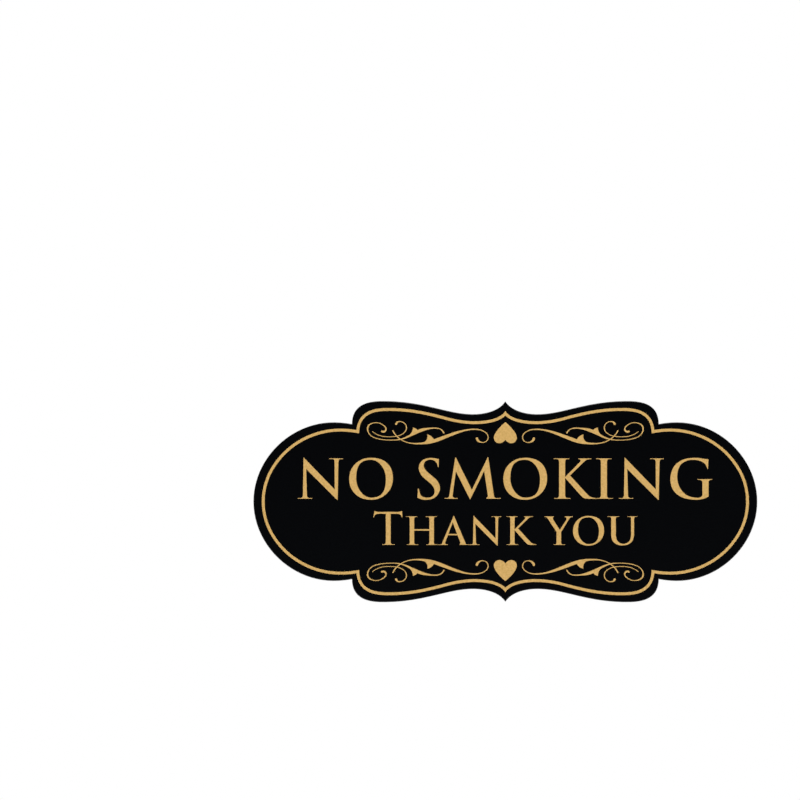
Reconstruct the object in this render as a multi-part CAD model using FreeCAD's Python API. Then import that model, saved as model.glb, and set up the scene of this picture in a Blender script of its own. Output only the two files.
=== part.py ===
import FreeCAD
import Part
import os

# Decorative no smoking sign: a thin plastic plate with a gold print on its face and
# strips of foam tape on its back. All sizes are in millimetres.
# +X runs to the reader's right and +Z is up. The face looks along -Y, the wall is the
# plane y = 0, and the origin is the middle of that plane.

# Plate, with its outline given for the upper right quarter
plate_thickness = 1.6
plate_bevel = 0.25             # around the rim of the face
plate_half_width = 114.3       # 9 in from end to end
crown_z = 36.0                 # highest place of the rounded body
notch_drop = 0.8               # inner corner of body and middle band, below the crown
lobe_rise = 9.65               # highest place of the middle band, above the crown
valley_drop = 6.0              # lowest place of the middle band, below the lobe
point_rise = 5.8               # tip of the middle point, above the valley
valley_x = 14.5
valley_to_lobe = 40.8
lobe_to_notch = 14.3
notch_to_crown = 8.2

# How far the plate's curves are pulled out of those places
end_fullness = 0.54            # share of the quarter's width and height
notch_pull = 9.8
lobe_pull = 5.4
point_pull_x = 3.5
point_pull_z = 5.3
lobe_inner_pull = 18.9
valley_outer_pull = 12.0
valley_inner_pull = 2.85

# Printed border line, its outer edge placed by its distance inside the plate's outline
print_thickness = 0.1
line_width = 1.27
line_end_margin = 3.8
line_crown_shift = 3.0
line_crown_margin = 2.9
line_notch_side_margin = 2.05
line_notch_top_margin = 2.7
line_lobe_shift = 2.2
line_lobe_margin = 3.2
line_valley_shift = 0.4
line_valley_margin = 3.2
line_point_margin = 4.3
line_notch_lean = 0.75
line_notch_pull = 9.6
line_lobe_pull = 4.3
line_point_pull_x = 2.6
line_point_pull_z = 4.45

# How finely a curve is carried over to a parallel one, and to arcs
places_per_curve = 10
arc_tolerance = 0.05

# Printed hearts, each pointing away from the middle of the sign
heart_tip_margin = 9.4         # from the plate's middle point to the heart's tip
heart_height = 9.55
heart_half_width = 5.2
heart_side_rise = 2.47         # widest place, above the ends of the two lobes
heart_lobe_x = 2.6
heart_cleft_depth = 1.62
heart_cleft_pull_x = 0.4
heart_cleft_pull_z = 0.7
heart_lobe_inner_pull = 1.1
heart_lobe_outer_pull = 1.5
heart_side_lower_pull = 1.4
heart_side_upper_pull = 1.7
heart_tip_pull_x = 3.2
heart_tip_pull_z = 2.6

# Foam tape and its release liner
tape_width = 19.0
tape_height = 50.0
tape_thickness = 1.0
tape_end_margin = 24.8         # from the plate's end to the outer strip
liner_thickness = 0.1
liner_tab = 4.0                # stands past the strip's lower end, to be peeled by
liner_tab_radius = 3.0
strip_sides = {"left": -1, "centre": 0, "right": 1}

# Printed scroll of the upper right quarter, which fills the room between the heart and
# the border line
scroll_heart_gap = 2.1
scroll_side_gap = 3.31         # to the line beside the notch
scroll_top_gap = 4.52          # to the line at the lobe
drawn_length = 55.67           # of the scroll, as its strokes are given below
drawn_height = 11.01

# Pen strokes of the scroll. Each station is x from the inner end, z from the base line
# and the width of the stroke there.
long_stroke = [
    (5.6, 2.95, 1.10),
    (4.9, 1.85, 0.90),
    (2.9, 1.2, 0.36),
    (1.1, 1.95, 0.37),
    (0.55, 3.85, 0.37),
    (2.15, 6.05, 0.40),
    (6.8, 7.15, 0.50),
    (13.1, 6.15, 0.90),
    (19.95, 3.75, 1.40),
    (25.8, 1.65, 1.40),
    (30.8, 0.75, 0.80),
    (36.2, 0.95, 0.42),
    (40.3, 2.65, 0.42),
    (43.7, 6.5, 0.52),
]
middle_stroke = [
    (20.65, 5.55, 0.62),
    (22.3, 7.3, 0.40),
    (26.3, 7.65, 0.55),
    (31.4, 6.55, 1.35),
    (35.7, 4.45, 0.95),
    (39.9, 2.7, 0.48),
    (44.9, 2.25, 0.32),
    (50.3, 2.85, 0.34),
    (54.45, 5.1, 0.42),
    (55.05, 8.35, 0.60),
    (51.9, 10.15, 0.34),
    (47.95, 8.9, 0.42),
    (46.85, 7.25, 0.55),
    (47.45, 6.25, 0.72),
    (48.7, 6.2, 0.80),
]
short_stroke = [
    (42.25, 9.65, 1.00),
    (41.5, 10.5, 0.58),
    (39.7, 10.55, 0.37),
    (37.7, 8.65, 0.42),
    (38.05, 6.25, 0.40),
    (39.8, 4.75, 0.32),
    (44.0, 3.85, 0.30),
    (48.5, 4.0, 0.32),
    (53.0, 6.15, 0.25),
]
sections_per_span = 3

# Leaf barbs of the scroll: root on the stroke, a place on the outer edge, the tip, a
# place on the inner edge, the second root, and a place of the stroke between the roots
long_barb = [(24.9, 1.95), (26.45, 4.1), (28.15, 4.8), (28.3, 2.65), (31.3, 1.05), (28.0, 1.0)]
middle_barb = [(32.3, 6.5), (33.55, 7.6), (34.65, 8.0), (35.15, 5.95), (37.7, 3.8), (34.8, 4.8)]

# Places of the plate's outline
lobe_z = crown_z + lobe_rise
valley_z = lobe_z - valley_drop
point_z = valley_z + point_rise
lobe_x = valley_x + valley_to_lobe
notch_x = lobe_x + lobe_to_notch
crown_x = notch_x + notch_to_crown
notch_z = crown_z - notch_drop

# Room of the scroll
scroll_left = heart_half_width + scroll_heart_gap
scroll_right = notch_x - line_notch_side_margin - line_width - scroll_side_gap
scroll_top = lobe_z - line_lobe_margin - line_width - scroll_top_gap
scroll_scale = (scroll_right - scroll_left) / drawn_length
scroll_base = scroll_top - drawn_height * scroll_scale

# Planes that the pieces share, counted from the wall towards the reader
tape_back = -liner_thickness
plate_back = tape_back - tape_thickness
plate_face = plate_back - plate_thickness


def at(x, z):
    return FreeCAD.Vector(x, 0, z)


def pulled_curve(*poles):
    """Bezier edge from the first pole to the last, pulled towards those between."""
    curve = Part.BezierCurve()
    curve.setPoles([at(x, z) for x, z in poles])
    return curve.toShape()


def in_quarter(shape, side_x, side_z):
    """Mirror image of an upper right shape in the quarter on the given sides."""
    if side_x < 0:
        shape = shape.mirror(at(0, 0), at(1, 0))
    if side_z < 0:
        shape = shape.mirror(at(0, 0), at(0, 1))
    return shape


def slab(face, back, thickness):
    """Solid of the given thickness, from the plane y = back towards the reader."""
    flat = face.translated(FreeCAD.Vector(0, back, 0))
    return flat.extrude(FreeCAD.Vector(0, -thickness, 0))


def all_quarters(edges):
    """Closed wire of a quarter's edges and their mirror images."""
    copies = []
    for side_x in (1, -1):
        for side_z in (1, -1):
            copies += [in_quarter(edge, side_x, side_z) for edge in edges]
    return Part.Wire(Part.__sortEdges__(copies))


def outline_runs(half_width, crown, notch, lobe, valley, tip_z, pulls):
    """Upper right quarter of the scrolled outline, as two smooth runs of curves.

    The first goes from the end over the crown to the notch, the second from the notch
    over the lobe and the valley to the middle point.
    """
    notch_lean, notch_rise, lobe_reach, tip_reach, tip_drop = pulls
    body = pulled_curve(
        (half_width, 0),
        (half_width, crown[1] * end_fullness),
        (crown[0] + (half_width - crown[0]) * end_fullness, crown[1]),
        crown,
    )
    shoulder = pulled_curve(crown, ((crown[0] + notch[0]) / 2, crown[1]), notch)
    band_side = pulled_curve(
        notch,
        (notch[0] - notch_lean, notch[1] + notch_rise),
        (lobe[0] + lobe_reach, lobe[1]),
        lobe,
    )
    ogee = pulled_curve(
        lobe,
        (lobe[0] - lobe_inner_pull, lobe[1]),
        (valley[0] + valley_outer_pull, valley[1]),
        valley,
    )
    middle = pulled_curve(
        valley,
        (valley[0] - valley_inner_pull, valley[1]),
        (tip_reach, tip_z - tip_drop),
        (0, tip_z),
    )
    return [body, shoulder], [band_side, ogee, middle]


def parallel_places(runs, distance):
    """Places of a quarter's two runs at one distance inside them, mitred at the notch."""
    rows = []
    for run in runs:
        places = []
        for edge in run:
            first, last = edge.ParameterRange
            for i in range(1 if places else 0, places_per_curve + 1):
                u = first + (last - first) * i / places_per_curve
                ahead = edge.tangentAt(u)
                places.append(edge.valueAt(u) + at(-ahead.z, ahead.x) * distance)
        rows.append(places)
    if distance == 0:
        return rows
    # at the notch both rows go on straight to the corner where they meet
    body, band = rows
    body_end = runs[0][-1].tangentAt(runs[0][-1].LastParameter)
    band_start = runs[1][0].tangentAt(runs[1][0].FirstParameter)
    gap = band[0] - body[-1]
    turn = body_end.x * band_start.z - body_end.z * band_start.x
    reach = (gap.x * band_start.z - gap.z * band_start.x) / turn
    corner = body[-1] + body_end * reach
    # at the middle point the two halves cut each other off on the sign's axis
    kept = [place for place in band if place.x > 0]
    first_lost = band[len(kept)]
    share = kept[-1].x / (kept[-1].x - first_lost.x)
    axis_place = kept[-1] + (first_lost - kept[-1]) * share
    return [body + [corner], [corner] + kept + [axis_place]]


def curve_through(places):
    curve = Part.BSplineCurve()
    curve.interpolate(places)
    return curve


def arcs_through(places):
    """Arcs that run smoothly into each other and pass through the places."""
    return [arc.toShape() for arc in curve_through(places).toBiArcs(arc_tolerance)]


def plate():
    runs = outline_runs(
        plate_half_width,
        (crown_x, crown_z),
        (notch_x, notch_z),
        (lobe_x, lobe_z),
        (valley_x, valley_z),
        point_z,
        (0, notch_pull, lobe_pull, point_pull_x, point_pull_z),
    )
    sections = []
    for y, inset in ((plate_back, 0), (plate_face + plate_bevel, 0), (plate_face, plate_bevel)):
        rows = parallel_places(runs, inset)
        outline = all_quarters([curve_through(places).toShape() for places in rows])
        sections.append(outline.translated(FreeCAD.Vector(0, y, 0)))
    return Part.makeLoft(sections, True, True)


def border_line():
    """Ring of one width all along."""
    runs = outline_runs(
        plate_half_width - line_end_margin,
        (crown_x - line_crown_shift, crown_z - line_crown_margin),
        (notch_x - line_notch_side_margin, notch_z - line_notch_top_margin),
        (lobe_x - line_lobe_shift, lobe_z - line_lobe_margin),
        (valley_x - line_valley_shift, valley_z - line_valley_margin),
        point_z - line_point_margin,
        (line_notch_lean, line_notch_pull, line_lobe_pull, line_point_pull_x, line_point_pull_z),
    )
    inks = []
    for inset in (0, line_width):
        arcs = [arc for places in parallel_places(runs, inset) for arc in arcs_through(places)]
        inks.append(slab(Part.Face(all_quarters(arcs)), plate_face, print_thickness))
    return inks[0].cut(inks[1])


def on_scroll(x, z):
    """The place, as drawn from the scroll's inner end and base line, on the sign."""
    return at(scroll_left + x * scroll_scale, scroll_base + z * scroll_scale)


def pen_stroke(stations):
    """Flat face along the stations, with the width of each and round ends."""
    # the y coordinate of this curve carries the width, so one curve blends both
    pen = curve_through([FreeCAD.Vector(x, width, z) for x, z, width in stations])
    spans = (len(stations) - 1) * sections_per_span
    left, right, ends = [], [], []
    for i in range(spans + 1):
        u = pen.FirstParameter + (pen.LastParameter - pen.FirstParameter) * i / spans
        place = pen.value(u)
        run = pen.tangent(u)[0]
        ahead = at(run.x, run.z).normalize()
        across = at(-ahead.z, ahead.x)
        centre = on_scroll(place.x, place.z)
        reach = place.y / 2 * scroll_scale
        left.append(centre + across * reach)
        right.append(centre - across * reach)
        if i == 0:
            ends.append(centre - ahead * reach)
        if i == spans:
            ends.append(centre + ahead * reach)
    start_cap = Part.Arc(left[0], ends[0], right[0]).toShape()
    end_cap = Part.Arc(left[-1], ends[1], right[-1]).toShape()
    edges = arcs_through(left) + arcs_through(right) + [start_cap, end_cap]
    return Part.Face(Part.Wire(Part.__sortEdges__(edges)))


def leaf_barb(places):
    root, outer, tip, inner, second_root, between = [on_scroll(x, z) for x, z in places]
    outer_edge = Part.Arc(root, outer, tip).toShape()
    inner_edge = Part.Arc(tip, inner, second_root).toShape()
    base = Part.Arc(second_root, between, root).toShape()
    return Part.Face(Part.Wire([outer_edge, inner_edge, base]))


def scroll():
    """One scroll, in the upper right quarter."""
    faces = [pen_stroke(stations) for stations in (long_stroke, middle_stroke, short_stroke)]
    faces += [leaf_barb(places) for places in (long_barb, middle_barb)]
    inks = [slab(face, plate_face, print_thickness) for face in faces]
    return inks[0].fuse(inks[1:]).removeSplitter()


def heart():
    """The upper heart."""
    tip_z = point_z - heart_tip_margin
    base_z = tip_z - heart_height
    cleft_z = base_z + heart_cleft_depth
    side_z = base_z + heart_side_rise
    half = [
        pulled_curve(
            (0, cleft_z),
            (heart_cleft_pull_x, cleft_z - heart_cleft_pull_z),
            (heart_lobe_x - heart_lobe_inner_pull, base_z),
            (heart_lobe_x, base_z),
        ),
        pulled_curve(
            (heart_lobe_x, base_z),
            (heart_lobe_x + heart_lobe_outer_pull, base_z),
            (heart_half_width, side_z - heart_side_lower_pull),
            (heart_half_width, side_z),
        ),
        pulled_curve(
            (heart_half_width, side_z),
            (heart_half_width, side_z + heart_side_upper_pull),
            (heart_tip_pull_x, tip_z - heart_tip_pull_z),
            (0, tip_z),
        ),
    ]
    edges = half + [in_quarter(edge, -1, 1) for edge in half]
    outline = Part.Wire(Part.__sortEdges__(edges))
    return slab(Part.Face(outline), plate_face, print_thickness)


def tape(middle_x):
    corner = FreeCAD.Vector(middle_x - tape_width / 2, plate_back, -tape_height / 2)
    return Part.makeBox(tape_width, tape_thickness, tape_height, corner)


def liner(middle_x):
    """Film on the tape, with a round-cornered tab past the strip's lower end."""
    height = tape_height + liner_tab
    corner = FreeCAD.Vector(middle_x - tape_width / 2, tape_back, -tape_height / 2 - liner_tab)
    film = Part.makeBox(tape_width, liner_thickness, height, corner)
    tab_corners = [
        e
        for e in film.Edges
        if e.BoundBox.ZMax < corner.z + 1e-6 and e.BoundBox.XLength < 1e-6
    ]
    return film.makeFillet(liner_tab_radius, tab_corners)


nodes = {"plate": plate(), "border_line": border_line()}
upper_right_scroll = scroll()
upper_heart = heart()
for height_name, side_z in (("upper", 1), ("lower", -1)):
    for side_name, side_x in (("right", 1), ("left", -1)):
        name = height_name + "_" + side_name + "_scroll"
        nodes[name] = in_quarter(upper_right_scroll, side_x, side_z)
    nodes[height_name + "_heart"] = in_quarter(upper_heart, 1, side_z)
outer_strip_x = plate_half_width - tape_end_margin - tape_width / 2
for side_name, side in strip_sides.items():
    nodes[side_name + "_foam_tape"] = tape(side * outer_strip_x)
    nodes[side_name + "_release_liner"] = liner(side * outer_strip_x)

os.makedirs("parts", exist_ok=True)
for name, shape in nodes.items():
    box = shape.BoundBox
    print(name, len(shape.Solids), "solid", shape.isValid(), round(shape.Volume, 2), "mm3",
          [round(v, 2) for v in (box.XMin, box.XMax, box.YMin, box.YMax, box.ZMin, box.ZMax)])
    shape.exportStep("parts/" + name + ".step")
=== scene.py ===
import bpy
import math
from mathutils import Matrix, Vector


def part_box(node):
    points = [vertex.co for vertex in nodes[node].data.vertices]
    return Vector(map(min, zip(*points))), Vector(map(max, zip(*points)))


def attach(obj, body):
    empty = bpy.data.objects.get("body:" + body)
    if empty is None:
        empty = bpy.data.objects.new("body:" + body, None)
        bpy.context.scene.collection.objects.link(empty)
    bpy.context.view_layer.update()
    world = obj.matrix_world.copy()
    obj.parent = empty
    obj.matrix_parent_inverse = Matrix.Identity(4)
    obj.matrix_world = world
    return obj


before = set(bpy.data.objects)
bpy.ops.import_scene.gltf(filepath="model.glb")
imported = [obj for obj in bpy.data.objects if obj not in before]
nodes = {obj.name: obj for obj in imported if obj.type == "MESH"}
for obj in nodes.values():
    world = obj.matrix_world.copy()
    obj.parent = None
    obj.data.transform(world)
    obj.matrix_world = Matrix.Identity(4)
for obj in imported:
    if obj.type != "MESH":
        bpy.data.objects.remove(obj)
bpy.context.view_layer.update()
print("frame loaded with", len(nodes), "nodes")

mm = 0.001
mixSockets = {"factor": 0, "low": 6, "high": 7, "mixed": 2}  # places on a Mix node set to colours


def startMaterial(name, colour, roughness, specular):
    material = bpy.data.materials.new(name)
    material.use_nodes = True
    material.diffuse_color = (*colour, 1)
    shader = material.node_tree.nodes["Principled BSDF"]
    shader.inputs["Base Color"].default_value = (*colour, 1)
    shader.inputs["Roughness"].default_value = roughness
    shader.inputs["Specular IOR Level"].default_value = specular
    return material, material.node_tree, shader


def addNode(tree, kind, place, **values):
    node = tree.nodes.new(kind)
    node.location = place
    for name, value in values.items():
        node.inputs[name.replace("_", " ")].default_value = value
    return node


def addNoise(tree, place, scale, detail=2.0, roughness=0.5, stretch=(1, 1, 1)):
    coords = addNode(tree, "ShaderNodeTexCoord", (place[0] - 400, place[1]))
    mapping = addNode(tree, "ShaderNodeMapping", (place[0] - 200, place[1]), Scale=stretch)
    noise = addNode(tree, "ShaderNodeTexNoise", place, Scale=scale, Detail=detail,
                    Roughness=roughness)
    tree.links.new(coords.outputs["Object"], mapping.inputs["Vector"])
    tree.links.new(mapping.outputs["Vector"], noise.inputs["Vector"])
    return noise.outputs["Fac"]


def addCells(tree, place, scale):
    coords = addNode(tree, "ShaderNodeTexCoord", (place[0] - 200, place[1]))
    cells = addNode(tree, "ShaderNodeTexVoronoi", place, Scale=scale)
    tree.links.new(coords.outputs["Object"], cells.inputs["Vector"])
    return cells.outputs["Distance"]


def spread(tree, source, place, low, high, fromLow=0.3, fromHigh=0.7):  # a pattern to a range
    ranged = addNode(tree, "ShaderNodeMapRange", place, From_Min=fromLow, From_Max=fromHigh,
                     To_Min=low, To_Max=high)
    tree.links.new(source, ranged.inputs["Value"])
    return ranged.outputs["Result"]


def blend(tree, factor, place, low, high):  # two colours, each given or from another node
    mix = addNode(tree, "ShaderNodeMix", place)
    mix.data_type = "RGBA"
    for end, colour in (("low", low), ("high", high)):
        socket = mix.inputs[mixSockets[end]]
        if isinstance(colour, tuple):
            socket.default_value = (*colour, 1)
        else:
            tree.links.new(colour, socket)
    tree.links.new(factor, mix.inputs[mixSockets["factor"]])
    return mix.outputs[mixSockets["mixed"]]


def addBump(tree, source, shader, place, strength, depth):
    bump = addNode(tree, "ShaderNodeBump", place, Strength=strength, Distance=depth)
    tree.links.new(source, bump.inputs["Height"])
    tree.links.new(bump.outputs["Normal"], shader.inputs["Normal"])


plasticLook = {
    "face": {"colour": (0.0006, 0.0008, 0.0012), "specular": 0.075, "rough": (0.19, 0.25)},
    # the cut edge is a touch greyer than the face, and its lighter colour is also a painted highlight
    # along the rim
    "edge": {"colour": (0.0020, 0.0022, 0.0026), "specular": 0.50, "rough": (0.24, 0.38)},
    "back": {"colour": (0.0040, 0.0041, 0.0046), "specular": 0.30, "rough": (0.48, 0.62)},
    "grain": {"scale": 2600, "detail": 3}, "grainLighter": 1.25,
    "orangePeel": {"scale": 420, "detail": 1}, "peelBump": (0.12, 0.02 * mm),  # strength, depth
    "sawMarks": {"scale": 1500, "detail": 1, "stretch": (1, 0.06, 1)}, "sawBump": (0.35, 0.02 * mm),
    "flat": 0.95,  # least share of Y in a normal of the face or back; the rest is cut edge
}


def plasticMaterial(side):  # black sign sheet: face, cut edge or back
    look, finish = plasticLook, plasticLook[side]
    colour, rough = finish["colour"], finish["rough"]
    material, tree, shader = startMaterial("plastic" + side.capitalize(), colour, sum(rough) / 2,
                                           finish["specular"])
    grain = addNoise(tree, (-700, 200), **look["grain"])
    lighter = tuple(look["grainLighter"] * value for value in colour)
    tree.links.new(spread(tree, grain, (-450, 200), *rough), shader.inputs["Roughness"])
    tree.links.new(blend(tree, grain, (-450, 420), colour, lighter), shader.inputs["Base Color"])
    if side == "edge":  # fine marks of the cutter, running through the sheet
        marks = addNoise(tree, (-700, -200), **look["sawMarks"])
        addBump(tree, marks, shader, (-300, -200), *look["sawBump"])
    else:  # faint orange peel of the rolled sheet
        peel = addNoise(tree, (-700, -200), **look["orangePeel"])
        addBump(tree, peel, shader, (-300, -200), *look["peelBump"])
    return material


goldLook = {
    "colour": (0.565, 0.352, 0.108), "paler": (0.690, 0.445, 0.160), "deeper": (0.420, 0.240, 0.052),
    "specular": 0.30, "rough": (0.42, 0.58),
    "flakes": {"scale": 1100, "detail": 4, "roughness": 0.65}, "flakeBump": (0.15, 0.01 * mm),
    "cloud": {"scale": 130, "detail": 2}, "cloudShare": (0.15, 0.55),  # of the even colour
}


def goldMaterial():  # printed gold ink: small flakes of pigment in a satin binder
    look = goldLook
    material, tree, shader = startMaterial("goldInk", look["colour"], sum(look["rough"]) / 2,
                                           look["specular"])
    flakes = addNoise(tree, (-900, 200), **look["flakes"])
    cloud = addNoise(tree, (-900, -100), **look["cloud"])
    flakeMask = spread(tree, flakes, (-650, 200), 0, 1)
    flaked = blend(tree, flakeMask, (-400, 300), look["deeper"], look["paler"])
    evenShare = spread(tree, cloud, (-650, -100), *look["cloudShare"])
    inked = blend(tree, evenShare, (-200, 300), flaked, look["colour"])
    tree.links.new(inked, shader.inputs["Base Color"])
    tree.links.new(spread(tree, flakes, (-650, 0), *look["rough"]), shader.inputs["Roughness"])
    addBump(tree, flakes, shader, (-300, -250), *look["flakeBump"])
    return material


foamLook = {
    "colour": (0.78, 0.77, 0.73), "pore": (0.52, 0.51, 0.47), "rough": 0.9, "specular": 0.2,
    "cells": 2400, "poreReach": (0.0, 0.6), "cellBump": (0.6, 0.12 * mm),
}


def foamMaterial():  # closed cells of the white tape foam
    look = foamLook
    material, tree, shader = startMaterial("tapeFoam", look["colour"], look["rough"],
                                           look["specular"])
    cells = addCells(tree, (-700, 200), look["cells"])
    poreMask = spread(tree, cells, (-450, 200), 0, 1, *look["poreReach"])
    foam = blend(tree, poreMask, (-250, 300), look["colour"], look["pore"])
    tree.links.new(foam, shader.inputs["Base Color"])
    addBump(tree, cells, shader, (-300, -100), *look["cellBump"])
    return material


linerLook = {
    "colour": (0.80, 0.76, 0.62), "fibre": (0.71, 0.66, 0.50), "rough": (0.24, 0.40), "specular": 0.5,
    "fibres": {"scale": 900, "detail": 3, "roughness": 0.6, "stretch": (1, 1, 0.15)},
    "waves": {"scale": 60, "detail": 1}, "waveBump": (0.3, 0.3 * mm),
}


def linerMaterial():  # waxed release paper, with long fibres and a slight wave
    look = linerLook
    material, tree, shader = startMaterial("releaseLiner", look["colour"], sum(look["rough"]) / 2,
                                           look["specular"])
    fibres = addNoise(tree, (-700, 200), **look["fibres"])
    waves = addNoise(tree, (-700, -150), **look["waves"])
    fibreMask = spread(tree, fibres, (-450, 200), 0, 1)
    waxed = blend(tree, fibreMask, (-250, 300), look["fibre"], look["colour"])
    tree.links.new(waxed, shader.inputs["Base Color"])
    tree.links.new(spread(tree, fibres, (-450, 0), *look["rough"]), shader.inputs["Roughness"])
    addBump(tree, waves, shader, (-300, -150), *look["waveBump"])
    return material


goldInk = goldMaterial()
tapeFoam = foamMaterial()
releaseLiner = linerMaterial()
sheetSides = ["face", "edge", "back"]
sheetFinishes = [plasticMaterial(side) for side in sheetSides]


def finishesOf(name):
    if name == "plate":
        return sheetFinishes
    if name.endswith("foam_tape"):
        return [tapeFoam]
    if name.endswith("release_liner"):
        return [releaseLiner]
    return [goldInk]


for name, node in nodes.items():
    node.data.materials.clear()
    for finish in finishesOf(name):
        node.data.materials.append(finish)


def sideOf(triangle):  # the sheet's face looks along -Y
    if triangle.normal.y < -plasticLook["flat"]:
        return "face"
    if triangle.normal.y > plasticLook["flat"]:
        return "back"
    return "edge"


for triangle in nodes["plate"].data.polygons:
    triangle.material_index = sheetSides.index(sideOf(triangle))
print("materials made")


# The letters are drawn on a grid where a capital is 100 high. A plain point is a corner, a third
# value of 1 makes it a rounded one, and the points of an oval carry their two handles.
gridHeight = 100
serifLook = {  # heights on the grid, and how far the bend stands out from the stem
    "head": {"edge": 99.4, "tip": 97.9, "bend": 96.6, "root": 91, "reach": 2},
    "foot": {"edge": 1.3, "tip": 2.8, "bend": 4, "root": 9, "reach": 2.3},
}


def serif(end, tipLeft, stemLeft, stemRight, tipRight):
    look = serifLook[end]
    left = [(stemLeft, look["root"]), (stemLeft - look["reach"], look["bend"], 1),
            (tipLeft, look["tip"]), (tipLeft, look["edge"])]
    right = [(tipRight, look["edge"]), (tipRight, look["tip"]),
             (stemRight + look["reach"], look["bend"], 1), (stemRight, look["root"])]
    return left + right


def head(*places):  # on top of a stroke, drawn from left to right
    return serif("head", *places)


def foot(*places):  # under a stroke, drawn from right to left
    return serif("foot", *places)[::-1]


def oval(middleX, middleZ, halfWidth, halfHeight, fullness):
    reach = [(1, 0), (0, 1), (-1, 0), (0, -1)]  # right, top, left, bottom

    def spot(across, up):
        return middleX + across * halfWidth, middleZ + up * halfHeight

    points = []
    for quarter, (across, up) in enumerate(reach):
        before, after = fullness[quarter - 1], fullness[quarter]
        points.append((*spot(across, up), spot(across + up * before, up - across * before),
                       spot(across - up * after, up + across * after)))
    return points


letterShapes = {
    "N": [[(14.6, 102), (90.6, 23.6)] + head(76.9, 90.2, 99.5, 110.3)
          + [(97.6, -1.6), (95.4, -0.6), (20.9, 73.9)] + foot(0.8, 13, 22.8, 35.5)],
    "O": [oval(54.5, 49.9, 53.35, 51.2, (0.64, 0.575, 0.60, 0.56)),
          oval(54.4, 50, 36.2, 46.2, (0.535, 0.715, 0.515, 0.71))],
    "S": [[(53.6, 98.2), (31.5, 100.6, 1), (13.2, 94.2, 1), (4.9, 78.4, 1), (9.5, 61.2, 1),
           (23.8, 46.2, 1), (37.8, 33.6, 1), (43.4, 20.4, 1), (38.9, 8.2, 1), (26, 3.8, 1),
           (11, 8.4, 1), (4.9, 25.2), (2.6, 25.6), (1.5, 3.8), (11.7, -0.2, 1), (23.5, -1.3, 1),
           (44.2, 4.6, 1), (56.2, 24.5, 1), (51.2, 43, 1), (36.4, 57.4, 1), (21.2, 71.4, 1),
           (16.8, 82, 1), (20.8, 92.2, 1), (32, 96.4, 1), (44.6, 92.6, 1), (49.8, 85.4, 1),
           (51.3, 77.8), (52.8, 78.2)]],
    "M": [[(25.9, 102), (27, 102), (66.3, 22.7), (104.8, 102), (106.2, 102)]
          + foot(101.7, 105.4, 120, 136.6)
          + [(96.2, 69.2), (62.3, -0.4), (61.7, -0.4), (27.4, 68.2)] + foot(0.2, 11.2, 19.3, 31.3)],
    "K": [head(1.4, 14.8, 29.4, 39.7)
          + [(29.4, 54.2), (66.9, 92), (66.4, 96.4, 1), (62, 97.9), (62, 99.4), (93.2, 99.4),
             (93.2, 97.9), (82.6, 96.4, 1), (75.6, 91.4), (41.5, 57.9), (80.8, 14.8),
             (90.8, 6.2, 1), (105, 2.5), (105, 1.3), (82.6, 1.3), (74.6, 3.4, 1), (67, 10), (29.4, 52.2)]
          + foot(2.6, 14.8, 29.4, 42)],
    "I": [head(0.6, 12.3, 27, 38.1) + foot(-0.6, 12.3, 27, 41.6)],
    "G": [[(93.4, 97), (79, 99.2, 1), (59, 100.8, 1), (34, 97.2, 1), (13.3, 84.4, 1), (2.3, 62, 1),
           (1.7, 38.6, 1), (9.8, 19.6, 1), (27, 5.8, 1), (59.6, -1.1, 1), (81, 0.9, 1), (93.8, 6.4),
           (93.8, 43.4), (96.6, 46.4, 1), (102.8, 47.8), (102.8, 48.9), (66.6, 48.9), (66.6, 47.8),
           (75.3, 46.4, 1), (78.8, 42.8), (78.8, 9.4), (75.6, 5.4, 1), (60.5, 4.1, 1),
           (48, 6.8, 1), (36, 13.2, 1), (21.5, 33, 1), (17.6, 56, 1), (24, 81.4, 1),
           (40.9, 93.8, 1), (61, 95.8, 1), (77.6, 91.6, 1), (86.8, 84, 1), (91, 73.6), (92.3, 73.8)]],
    "T": [[(0.8, 83.6), (4.6, 101.6), (10, 99.6, 1), (45, 99.1, 1), (80, 99.6, 1), (86, 101.6),
           (86.8, 82), (85.6, 81.6), (81.6, 89.8, 1), (73.5, 92.9, 1), (52.2, 93.2)]
          + foot(27.4, 37.9, 52.2, 64.4)
          + [(37.9, 93.2), (14.5, 92.9, 1), (6.4, 90, 1), (2.2, 83)]],
    "H": [head(0.2, 13.8, 29, 40) + [(29, 55.2), (81.6, 55.2)] + head(68.6, 81.6, 97, 107.6)
          + foot(71.2, 81.6, 97, 109.4) + [(81.6, 50.4), (29, 50.4)] + foot(3.1, 13.8, 29, 43.4)],
    "A": [[(56.8, 102.4)] + foot(77.2, 79.9, 96.4, 110) + [(69.6, 34.6), (36.4, 34.6)]
          + foot(-0.6, 17.1, 26.6, 36.2), [(53, 79.4), (38, 39), (67.9, 39)]],
    "Y": [[(12.8, 90), (8.4, 95.2, 1), (0.4, 97.9), (0.4, 99.4), (32.6, 99.4), (32.6, 98.2),
           (29.4, 95.4, 1), (30, 88.6), (52.8, 53), (75.8, 88), (74.8, 94.8, 1), (70, 97.9),
           (70, 99.4), (97.6, 99.4), (97.6, 97.9), (88.6, 95, 1), (83.4, 88.3), (57.3, 45.6)]
          + foot(31.6, 41.6, 57.3, 71) + [(41.6, 45.6)]],
    "U": [head(0.3, 13.4, 29, 41)
          + [(29.2, 46, 1), (29.4, 33, 1), (35.8, 14, 1), (55.6, 4.7, 1), (75.4, 14, 1),
             (81.8, 34, 1), (81.8, 46, 1)]
          + head(68.9, 81.8, 92, 103.4)
          + [(92, 46, 1), (91.7, 34, 1), (85.6, 14.6, 1), (71, 2.9, 1), (53.4, -0.3, 1),
             (33, 2.9, 1), (18.8, 14.6, 1), (13.4, 34, 1), (13.4, 46, 1)]],
}

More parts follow.
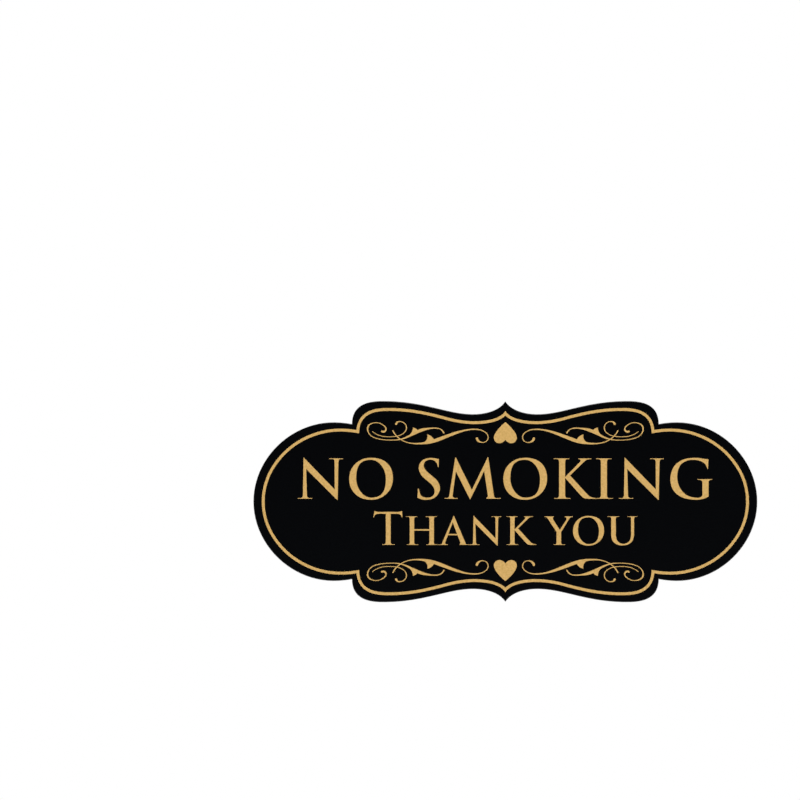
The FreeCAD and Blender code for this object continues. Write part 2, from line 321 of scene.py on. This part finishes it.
wordLook = {  # in mm, each letter with the left side of its grid, from the middle of the sign
    "noSmokingWords": {"baseline": 1.08, "height": 18.62, "letters": [
        ("N", -94.27), ("O", -71.07), ("S", -40.16), ("M", -27.53), ("O", -1.15), ("K", 21.63),
        ("I", 41.05), ("N", 51.40), ("G", 74.72)]},
    "thankYouWords": {"baseline": -19.79, "height": 13.17, "firstHeight": 15.31, "letters": [
        ("T", -60.03), ("H", -45.20), ("A", -30.86), ("N", -16.36), ("K", 0.29), ("Y", 17.74),
        ("O", 30.55), ("U", 46.26)]},
    "smoothness": 10,  # steps between two points
    "handle": 0.35,  # share of the way to the next point
}

inkBack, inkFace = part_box("border_line")[1].y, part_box("border_line")[0].y
inkDepth = inkBack - inkFace


def deselectAll():
    bpy.ops.object.select_all(action="DESELECT")


def bendSmoothly(point, before, after):  # handles on the line that halves the turn
    incoming, outgoing = point.co - before.co, after.co - point.co
    way = (incoming.normalized() + outgoing.normalized()).normalized()
    point.handle_left = point.co - way * incoming.length * wordLook["handle"]
    point.handle_right = point.co + way * outgoing.length * wordLook["handle"]


def drawOutline(shape, outline):  # one closed line of a letter
    line = shape.splines.new("BEZIER")
    line.bezier_points.add(len(outline) - 1)
    line.use_cyclic_u = True
    points = line.bezier_points
    for point, (across, up, *bend) in zip(points, outline):
        point.co = (across, up, 0)
        point.handle_left_type = point.handle_right_type = "FREE" if bend else "VECTOR"
    for place, (across, up, *bend) in enumerate(outline):
        point = points[place]
        if len(bend) == 2:
            point.handle_left, point.handle_right = (*bend[0], 0), (*bend[1], 0)
        elif bend:
            bendSmoothly(point, points[place - 1], points[(place + 1) % len(points)])


def drawLetter(letter):  # a filled outline, one grid step to the metre and one metre thick
    deselectAll()
    bpy.ops.curve.primitive_bezier_circle_add()
    drawn = bpy.context.object
    drawn.name = "letter" + letter
    shape = drawn.data
    shape.dimensions = "2D"
    shape.fill_mode = "BOTH"
    shape.resolution_u = wordLook["smoothness"]
    shape.splines.clear()
    for outline in letterShapes[letter]:
        drawOutline(shape, outline)
    shape.extrude = 0.5  # to each side
    bpy.ops.object.convert(target="MESH")
    return bpy.context.object


def placeLetter(pattern, left, baseline, height):
    deselectAll()
    pattern.select_set(True)
    bpy.context.view_layer.objects.active = pattern
    bpy.ops.object.duplicate(linked=False)
    placed = bpy.context.object
    step = height / gridHeight * mm
    placed.scale = (step, step, inkDepth)
    placed.rotation_euler = (math.pi / 2, 0, 0)
    placed.location = (left * mm, (inkBack + inkFace) / 2, baseline * mm)
    bpy.ops.object.transform_apply(location=True, rotation=True, scale=True)
    return placed


patterns = {letter: drawLetter(letter) for letter in letterShapes}
for wordName in ("noSmokingWords", "thankYouWords"):
    look = wordLook[wordName]
    row = []
    for place, (letter, left) in enumerate(look["letters"]):
        height = look.get("firstHeight", look["height"]) if place == 0 else look["height"]
        row.append(placeLetter(patterns[letter], left, look["baseline"], height))
    deselectAll()
    for placed in row:
        placed.select_set(True)
    bpy.context.view_layer.objects.active = row[0]
    bpy.ops.object.join()
    words = bpy.context.object
    words.name = words.data.name = wordName
    words.data.materials.clear()
    words.data.materials.append(goldInk)
    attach(words, "root")
    print(wordName, "printed,", len(words.data.polygons), "faces")

deselectAll()
for pattern in patterns.values():
    pattern.select_set(True)
bpy.ops.object.delete()


floorLook = {
    "drop": 0.5, "radius": 3.8, "corners": 96,
    "colour": (0.86, 0.86, 0.86), "rough": 0.9, "specular": 0.1,
    "grain": {"scale": 30, "detail": 2}, "grainPaler": 1.02,
    "glow": (0.35, 0.75), "glowReach": (0.8, 3.2),  # grows outwards, so the far floor stays as pale
}

deselectAll()
bpy.ops.mesh.primitive_circle_add(vertices=floorLook["corners"], radius=floorLook["radius"],
                                  fill_type="NGON", location=(0, 0, -floorLook["drop"]))
floor = bpy.context.object
floor.name = "studioFloor"
bpy.ops.object.transform_apply(location=True, rotation=True, scale=True)
floorPaper, floorTree, floorShader = startMaterial("floorPaper", floorLook["colour"],
                                                   floorLook["rough"], floorLook["specular"])
floorGrain = addNoise(floorTree, (-600, 0), **floorLook["grain"])
paler = tuple(min(1, floorLook["grainPaler"] * value) for value in floorLook["colour"])
floorColour = blend(floorTree, floorGrain, (-300, 0), floorLook["colour"], paler)
floorTree.links.new(floorColour, floorShader.inputs["Base Color"])
floorShader.inputs["Emission Color"].default_value = (1, 1, 1, 1)
floorPlace = addNode(floorTree, "ShaderNodeTexCoord", (-800, -300))
fromMiddle = addNode(floorTree, "ShaderNodeVectorMath", (-600, -300))
fromMiddle.operation = "LENGTH"
floorTree.links.new(floorPlace.outputs["Object"], fromMiddle.inputs[0])
glow = spread(floorTree, fromMiddle.outputs["Value"], (-400, -300), *floorLook["glow"],
              *floorLook["glowReach"])
floorTree.links.new(glow, floorShader.inputs["Emission Strength"])
floor.data.materials.append(floorPaper)

lightLook = {  # place in metres from the sign, width of the disk, and power in watts
    "keyLight": {"place": (-1.3, -1.9, 1.5), "width": 1.4, "power": 37},
    "softLight": {"place": (1.5, -1.8, 0.9), "width": 1.4, "power": 23},
    "backLight": {"place": (-0.9, 1.9, 1.3), "width": 1.4, "power": 40},
    "topLight": {"place": (0.2, 0.1, 2.2), "width": 1.2, "power": 16},
}

for lightName, look in lightLook.items():
    bpy.ops.object.light_add(type="AREA", location=look["place"])
    light = bpy.context.object
    light.name = lightName
    light.data.shape = "DISK"
    light.data.size = look["width"]
    light.data.energy = look["power"]
    light.visible_camera = False
    away = light.location.normalized()
    light.rotation_euler = away.to_track_quat("Z", "Y").to_euler()

worldLook = {
    "colour": (1, 1, 1, 1),
    "fill": 0.08,  # strength of its light on the sign
    "paper": 1.0,  # strength that the camera sees
}

world = bpy.data.worlds.new("studioWorld")
bpy.context.scene.world = world
world.use_nodes = True
worldTree = world.node_tree
fill = worldTree.nodes["Background"]
fill.inputs["Color"].default_value = worldLook["colour"]
fill.inputs["Strength"].default_value = worldLook["fill"]
paper = addNode(worldTree, "ShaderNodeBackground", (0, -200), Color=worldLook["colour"],
                Strength=worldLook["paper"])
rays = addNode(worldTree, "ShaderNodeLightPath", (0, 300))
choice = addNode(worldTree, "ShaderNodeMixShader", (250, 100))
worldTree.links.new(rays.outputs["Is Camera Ray"], choice.inputs[0])
worldTree.links.new(fill.outputs[0], choice.inputs[1])
worldTree.links.new(paper.outputs[0], choice.inputs[2])
worldTree.links.new(choice.outputs[0], worldTree.nodes["World Output"].inputs["Surface"])
bpy.context.scene.view_settings.view_transform = "Standard"
print("studio ready")

cameraLook = {
    "shownWidth": 0.36293,  # of the whole picture, at the sign's face
    "across": -0.0478, "up": 0.0461,  # the sign stands low and to the right in the picture
    "lens": 200, "sensor": 36, "clip": (0.05, 30),
}
distance = cameraLook["shownWidth"] * cameraLook["lens"] / cameraLook["sensor"]
bpy.ops.object.camera_add(location=(cameraLook["across"], inkFace - distance, cameraLook["up"]),
                          rotation=(math.pi / 2, 0, 0))
camera = bpy.context.object
camera.name = "photoCamera"
camera.data.lens = cameraLook["lens"]
camera.data.sensor_width = cameraLook["sensor"]
camera.data.clip_start, camera.data.clip_end = cameraLook["clip"]
bpy.context.scene.camera = camera

print("all pieces ready")
